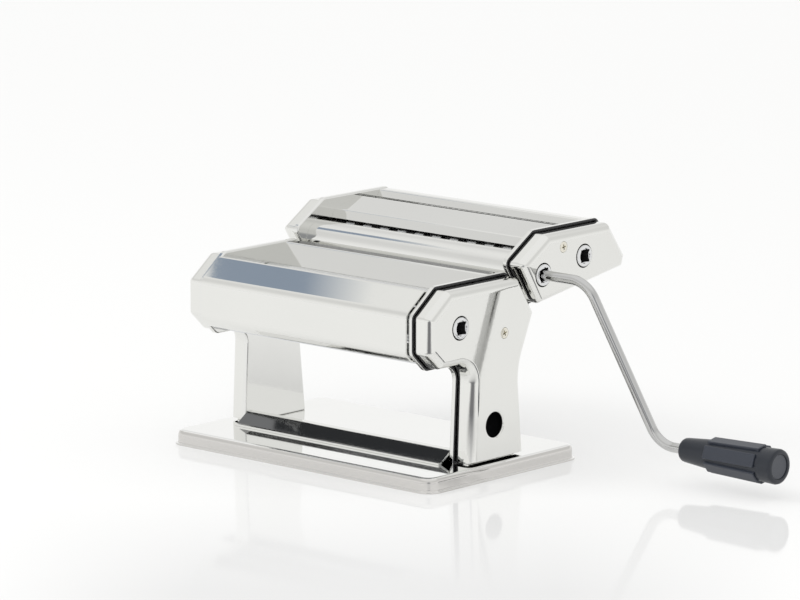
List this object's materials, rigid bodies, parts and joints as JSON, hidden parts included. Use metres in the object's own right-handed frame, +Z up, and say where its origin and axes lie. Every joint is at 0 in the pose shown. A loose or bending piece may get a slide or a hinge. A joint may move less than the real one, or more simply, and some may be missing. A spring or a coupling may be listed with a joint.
{
  "type": "pasta machine",
  "caption": "Hand cranked pasta machine: chromed stand on a base plate, smooth rollers with a thickness regulator, lift-off cutter head with a wide and a narrow cutter, bent crank with a grip.",
  "frame": {"origin": "middle of the base plate, on the surface it stands on", "axes": "+X along the rollers towards the crank side, -Y towards the front cover, +Z up"},
  "size_m": [0.3482, 0.1729, 0.1281],
  "materials": {
    "chrome_sheet": "polished chrome plate on sheet steel",
    "plate_steel": "bright chromed sheet steel",
    "roller_steel": "turned and fine brushed nickelled steel",
    "cutter_steel": "turned nickelled steel",
    "bush_plastic": "pale self-lubricating polymer",
    "bush_bronze": "sintered bronze",
    "gear_steel": "machined steel",
    "screw_steel": "yellow zinc plated steel",
    "rod_steel": "chromed steel rod",
    "blade_steel": "spring steel sheet",
    "spring_steel": "spring wire",
    "dial_steel": "satin steel",
    "knob_plastic": "black moulded plastic",
    "grip_plastic": "dark slate satin plastic",
    "cap_plastic": "dark slate satin plastic"
  },
  "bodies": {
    "stand": {"base_plate": "chrome_sheet", "base_screws": "screw_steel", "cross_tie": "plate_steel", "right_inner_plate": "plate_steel", "left_inner_plate": "plate_steel", "right_outer_cover": "chrome_sheet", "left_outer_cover": "chrome_sheet", "front_cover": "chrome_sheet", "rear_cover": "chrome_sheet", "hopper_plate": "chrome_sheet", "main_tie_rods": "rod_steel", "front_scraper": "blade_steel", "rear_scraper": "blade_steel", "main_bushes": "bush_plastic", "regulator_bush": "bush_plastic", "main_cover_posts": "rod_steel", "main_cover_screws": "screw_steel", "dial_plate": "dial_steel"},
    "front_roller_set": {"front_roller": "roller_steel", "roller_socket": "rod_steel", "front_gear": "gear_steel"},
    "regulator": {"eccentric_shaft": "rod_steel", "knob_screw": "screw_steel"},
    "bush_carrier": {"roller_bushes": "bush_bronze"},
    "rear_roller_set": {"rear_roller": "roller_steel", "rear_gear": "gear_steel"},
    "knob": {"regulator_knob": "knob_plastic", "index_pin": "rod_steel", "knob_spring": "spring_steel"},
    "cutter_head": {"cutter_right_plate": "plate_steel", "cutter_left_plate": "plate_steel", "cutter_right_cover": "chrome_sheet", "cutter_left_cover": "chrome_sheet", "front_shell": "plate_steel", "centre_guide": "plate_steel", "rear_shell": "plate_steel", "cutter_tie_rods": "rod_steel", "cutter_tongues": "rod_steel", "cutter_bushes": "bush_plastic", "wide_combs": "blade_steel", "narrow_combs": "blade_steel", "cutter_cover_posts": "rod_steel", "cutter_cover_screws": "screw_steel"},
    "wide_drive": {"wide_drive_cutter": "cutter_steel", "wide_socket": "rod_steel", "wide_drive_gear": "gear_steel"},
    "wide_driven": {"wide_driven_cutter": "cutter_steel", "wide_driven_gear": "gear_steel"},
    "narrow_drive": {"narrow_drive_cutter": "cutter_steel", "narrow_socket": "rod_steel", "narrow_drive_gear": "gear_steel"},
    "narrow_driven": {"narrow_driven_cutter": "cutter_steel", "narrow_driven_gear": "gear_steel"},
    "crank": {"crank_rod": "rod_steel"},
    "grip": {"crank_grip": "grip_plastic", "grip_end_cap": "cap_plastic"}
  },
  "joints": [
    {"name": "front_roller_spin", "type": "hinge", "parent": "stand", "child": "front_roller_set", "pos_m": [0, -0.0301, 0.0856], "axis": [1, 0, 0], "continuous": true},
    {"name": "regulator_turn", "type": "hinge", "parent": "stand", "child": "regulator", "pos_m": [0, -0.0047, 0.0844], "axis": [1, 0, 0], "range_deg": [-60, 60]},
    {"name": "roller_float", "type": "hinge", "parent": "regulator", "child": "bush_carrier", "pos_m": [0, -0.0047, 0.0856], "axis": [1, 0, 0], "range_deg": [-60, 60]},
    {"name": "rear_roller_spin", "type": "hinge", "parent": "bush_carrier", "child": "rear_roller_set", "pos_m": [0, -0.0047, 0.0856], "axis": [1, 0, 0], "continuous": true},
    {"name": "knob_pull", "type": "slide", "parent": "regulator", "child": "knob", "axis": [-1, 0, 0], "range_m": [0, 0.003], "stiffness_N_per_m": 900, "deforming": ["knob_spring"]},
    {"name": "cutter_lift", "type": "slide", "parent": "stand", "child": "cutter_head", "axis": [0, -0.5358, 0.8443], "range_m": [0, 0.06]},
    {"name": "wide_drive_spin", "type": "hinge", "parent": "cutter_head", "child": "wide_drive", "pos_m": [0, 0.0379, 0.10521], "axis": [1, 0, 0], "continuous": true},
    {"name": "wide_driven_spin", "type": "hinge", "parent": "cutter_head", "child": "wide_driven", "pos_m": [0, 0.05346, 0.10795], "axis": [1, 0, 0], "continuous": true},
    {"name": "narrow_drive_spin", "type": "hinge", "parent": "cutter_head", "child": "narrow_drive", "pos_m": [0, 0.07207, 0.11123], "axis": [1, 0, 0], "continuous": true},
    {"name": "narrow_driven_spin", "type": "hinge", "parent": "cutter_head", "child": "narrow_driven", "pos_m": [0, 0.08763, 0.11398], "axis": [1, 0, 0], "continuous": true},
    {"name": "crank_pull", "type": "slide", "parent": "wide_drive", "child": "crank", "axis": [1, 0, 0], "range_m": [0, 0.03]},
    {"name": "grip_spin", "type": "hinge", "parent": "crank", "child": "grip", "pos_m": [0.1773, 0.05367, 0.01843], "axis": [1, 0, 0], "continuous": true}
  ],
  "couplings": [
    {"joint": "roller_float", "follows": "regulator_turn", "ratio": -1},
    {"joint": "rear_roller_spin", "follows": "front_roller_spin", "ratio": -1},
    {"joint": "wide_driven_spin", "follows": "wide_drive_spin", "ratio": -1},
    {"joint": "narrow_driven_spin", "follows": "narrow_drive_spin", "ratio": -1}
  ]
}
